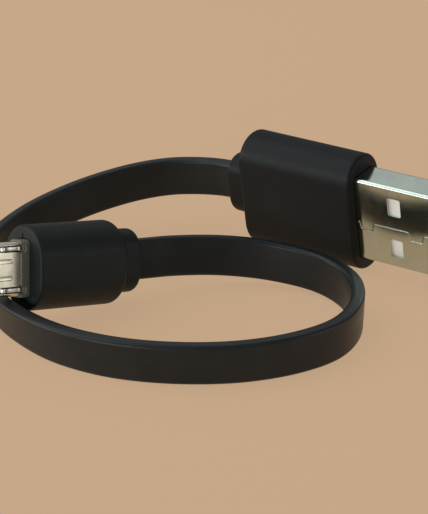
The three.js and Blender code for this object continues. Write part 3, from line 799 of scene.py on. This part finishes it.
def add_micro_shell():
    s = M_SHELL
    shell = prism("micro_shell_body", micro_outline(0), "x", s["rear"], s["tip"], MICRO)
    tools = [prism("hollow", micro_outline(s["wall"]), "x", s["rear"] - CUT_PAST, s["tip"] + CUT_PAST, MICRO)]
    for side in (-1, 1):
        slot = capsule(M_SLOT["start"], M_SLOT["end"], side * M_SLOT["y"], M_SLOT["width"])
        tools.append(prism("latch_slot", slot, "z", 0, s["height"], MICRO))
        surface, dent = s["height"] / 2, []
        levels = ((surface - M_DIMPLE["depth"], M_DIMPLE["slope"]), (surface, 0.0), (s["height"], 0.0))
        for z, inset in levels:
            outline = capsule(
                M_DIMPLE["start"] + inset, M_DIMPLE["end"] - inset, side * M_DIMPLE["y"],
                M_DIMPLE["width"] - 2 * inset)
            dent.append([(x, y, z) for x, y in outline])
        tools.append(loft("dent", dent, MICRO))
    combine(shell, tools, "DIFFERENCE")
    soften(shell, EDGE_TURN["shell"], angle=SHELL_SHARP)
    dress(shell, "micro_shell_metal", ["micro_shell"])


def add_micro_boss():
    b, core, above = M_BOSS, M_CORE, M_BOSS["thickness"]
    outline = rounded_ring(b["width"], b["thickness"], b["corner"], b["arc"])
    rings = [
        [(x, y * share, z * share) for y, z in outline]
        for x, share in ((b["rear"], 1), (b["length"] - b["edge"], 1), (b["length"], b["end"]))
    ]
    boss = loft("micro_boss", rings, MICRO)
    outline = rounded_ring(core["width"], core["thickness"], core["corner"], b["arc"])
    combine(boss, [prism("rear_block", outline, "x", core["rear"], core["front"], MICRO)], "UNION")
    hole = micro_outline(-FIT_GAP / 2)
    tools = [prism("shell_hole", hole, "x", M_SHELL["rear"] - FIT_GAP, b["length"] + CUT_PAST, MICRO)]
    for side in (-1, 1):
        start, width = M_SLOT["start"] - NOTCH_RIM, M_SLOT["width"] + NOTCH_RIM
        slot = capsule(start, M_SLOT["end"], side * M_SLOT["y"], width)
        tools.append(prism("notch", slot, "z", 0, above, MICRO))
    combine(boss, tools, "DIFFERENCE")
    soften(boss, EDGE_TURN["boss"])
    dress(boss, "inner_mould", ["micro_inner_mould"])


def add_micro_insulator():
    b, groove = M_BLOCK, M_GROOVE
    top, inset = M_SHELL["height"] / 2 - M_SHELL["wall"] - FIT_GAP, b["inset"]
    half, front = b["core"] / 2, b["front"]
    core = block("micro_tongue", (b["rear"], -half, -top), (front, half, top), MICRO)
    low, high = (front - b["overlap"], -half + inset, -top + inset), (b["tongue_tip"], half - inset, b["top"])
    tongue = block("tongue", low, high, MICRO)
    combine(core, [tongue], "UNION")
    tools, above = [], b["top"] + groove["open"]
    for place in M_CONTACTS.values():
        y, side = place * M_CONTACT["pitch"], M_CONTACT["width"] / 2 + FIT_GAP
        floor = b["top"] - M_CONTACT["thickness"] - 2 * FIT_GAP
        for name, low, past in (
            ("groove", (b["rear"] - CUT_PAST, y - side, floor), 0.0),
            ("slot", (front + groove["slot_from"], y - side, -top - CUT_PAST), groove["slot_past"]),
        ):
            tools.append(block(name, low, (M_CONTACT["tip"] + past, y + side, above), MICRO))
    combine(core, tools, "DIFFERENCE")
    soften(core, EDGE_TURN["core"], segments=1)
    dress(core, "black_insulator", ["micro_insulator"])


def strip(name, line, y, width, thickness, matrix):
    """A bent metal strip: its middle line in X and Z, drawn smooth, with rounded long edges."""
    path = spline([(x, 0.0, z) for x, z in line], STRIP_SAMPLES)[:, (0, 2)]
    steps = np.gradient(path, axis=0)
    steps /= np.linalg.norm(steps, axis=1)[:, None]
    section = rounded_ring(width, thickness, thickness * STRIP_CORNER, 4)
    rings = [[(x - dz * b, y + a, z + dx * b) for a, b in section] for (x, z), (dx, dz) in zip(path, steps)]
    return loft(name, rings, matrix)


def add_micro_contacts():
    middle = M_BLOCK["top"] - M_CONTACT["thickness"] / 2
    tip, bump = M_CONTACT["tip"], M_CONTACT["bump"]
    line = [(x, middle) for x in (M_CONTACT["rear"], 0, M_CONTACT["straight_to"])]
    line += [(tip + x, middle + bump * share) for x, share in M_CONTACT_BENDS]
    line.append((tip + M_CONTACT_END[0], middle + M_CONTACT_END[1]))
    for name, place in M_CONTACTS.items():
        spring = strip(
            f"micro_spring_{name}", line, place * M_CONTACT["pitch"], M_CONTACT["width"],
            M_CONTACT["thickness"], MICRO)
        dress(spring, "gold_contact", [f"micro_contact_{name}"], body=f"micro_contact_{name}")


def add_latches():
    for name, side in (("lower", 1), ("upper", -1)):
        latch = strip(
            f"latch_{name}", M_LATCH_LINE, side * M_SLOT["y"], M_LATCH["width"], M_LATCH["thickness"], MICRO)
        dress(latch, "spring_steel", [f"micro_latch_{name}"], body=f"micro_latch_{name}")


add_micro_shell()
add_micro_boss()
add_micro_insulator()
add_micro_contacts()
add_latches()

# ---------------------------------------------------------------- CAD nodes that stay, with better materials

KEPT = {"usb_a_inner_mould": "inner_mould"}
for plug in ("usb_a", "micro"):
    for colour in ("red", "white", "green", "black"):
        KEPT[f"{plug}_wire_{colour}"] = f"wire_{colour}"
for node, slot in KEPT.items():
    mesh = frame["nodes"][node].data
    for index in range(len(mesh.materials)):
        mesh.materials[index] = MATERIALS[slot]

# ---------------------------------------------------------------- floor and light

FLOOR_COLOUR = (0.578, 0.397, 0.254)
FLOOR_DIFFUSE = 0.25
FLOOR_GLOW = 0.84
FLOOR_HALF = 3.0
WORLD_GREY = 0.5
WORLD_STRENGTH = 0.5
# direction from the object, distance, size and power
SOFTBOXES = {
    "overhead_left": ((-0.62, 0.12, 0.78), 0.7, (0.62, 0.62), 1.7),
    "overhead_back": ((0.18, 0.78, 0.7), 0.9, (1.2, 0.3), 0.46),
    "right_side": ((0.95, -0.22, 0.12), 0.9, (0.5, 0.3), 0.85),
    "left_side": ((-0.97, -0.06, 0.13), 0.9, (0.75, 0.24), 2.6),
    "front_left": ((-0.62, -0.76, 0.16), 0.9, (0.45, 0.3), 2.0),
}


def add_floor():
    mesh = bpy.data.meshes.new("floor")
    corners = [(x * FLOOR_HALF, y * FLOOR_HALF, 0) for x, y in ((-1, -1), (1, -1), (1, 1), (-1, 1))]
    mesh.from_pydata(corners, [], [(0, 1, 2, 3)])
    floor = bpy.data.objects.new("floor", mesh)
    bpy.context.scene.collection.objects.link(floor)
    n = Nodes("floor_paper")
    n.set(Roughness=1.0, Specular_IOR_Level=0.0, Base_Color=(*(c * FLOOR_DIFFUSE for c in FLOOR_COLOUR), 1))
    n.set(Emission_Color=(*FLOOR_COLOUR, 1), Emission_Strength=FLOOR_GLOW)
    mesh.materials.append(n.material)


def softbox(name, direction, distance, size, power):
    data = bpy.data.lights.new(name, "AREA")
    data.shape = "RECTANGLE"
    data.size, data.size_y = size
    data.energy = power
    light = bpy.data.objects.new(name, data)
    towards = Vector(direction).normalized()
    light.location = towards * distance
    light.rotation_euler = towards.to_track_quat("Z", "Y").to_euler()
    bpy.context.scene.collection.objects.link(light)


add_floor()
for name, values in SOFTBOXES.items():
    softbox(name, *values)

world = bpy.data.worlds.new("studio")
world.use_nodes = True
background = world.node_tree.nodes["Background"]
background.inputs["Color"].default_value = (WORLD_GREY, WORLD_GREY, WORLD_GREY, 1)
background.inputs["Strength"].default_value = WORLD_STRENGTH
bpy.context.scene.world = world
bpy.context.scene.view_settings.view_transform = "Standard"
